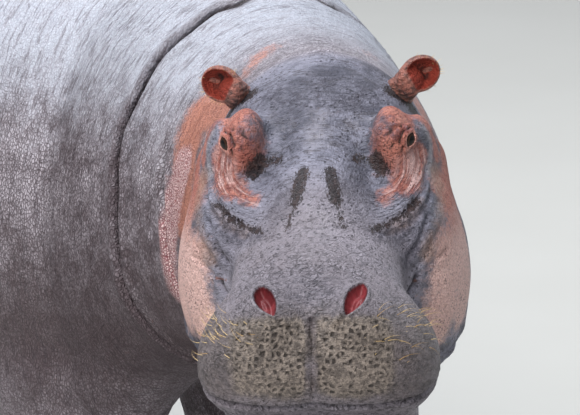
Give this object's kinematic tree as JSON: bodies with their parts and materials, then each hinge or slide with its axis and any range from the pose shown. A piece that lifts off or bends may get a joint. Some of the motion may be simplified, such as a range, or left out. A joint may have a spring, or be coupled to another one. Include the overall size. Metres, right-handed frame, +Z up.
{
  "type": "hippopotamus",
  "caption": "Life-size still hippopotamus, standing with its head turned to its right and its mouth closed.",
  "frame": {"origin": "middle of the animal's box, on the floor under the soles", "axes": "+Z up, +Y from the head end to the rump along the trunk, +X towards the animal's left side"},
  "size_m": [1.5034, 3.0268, 1.3929],
  "materials": {
    "hide": "damp bare hide, slate grey above, pink in the folds and round the eyes, fine cracks and pores",
    "ear_skin": "thin bare pink-brown skin",
    "eye": "wet dark brown eye",
    "nail": "worn dark horn",
    "bristle": "stiff golden bristle"
  },
  "bodies": {
    "root": {"head": "hide", "lower_jaw": "hide", "neck": "hide", "trunk": "hide", "tail": "hide", "leg_front_left": "hide", "leg_front_right": "hide", "leg_hind_left": "hide", "leg_hind_right": "hide", "ear_left": "ear_skin", "ear_right": "ear_skin", "eye_left": "eye", "eye_right": "eye", "nail_front_left_1": "nail", "nail_front_left_2": "nail", "nail_front_left_3": "nail", "nail_front_left_4": "nail", "nail_front_right_1": "nail", "nail_front_right_2": "nail", "nail_front_right_3": "nail", "nail_front_right_4": "nail", "nail_hind_left_1": "nail", "nail_hind_left_2": "nail", "nail_hind_left_3": "nail", "nail_hind_left_4": "nail", "nail_hind_right_1": "nail", "nail_hind_right_2": "nail", "nail_hind_right_3": "nail", "nail_hind_right_4": "nail"}
  },
  "joints": []
}
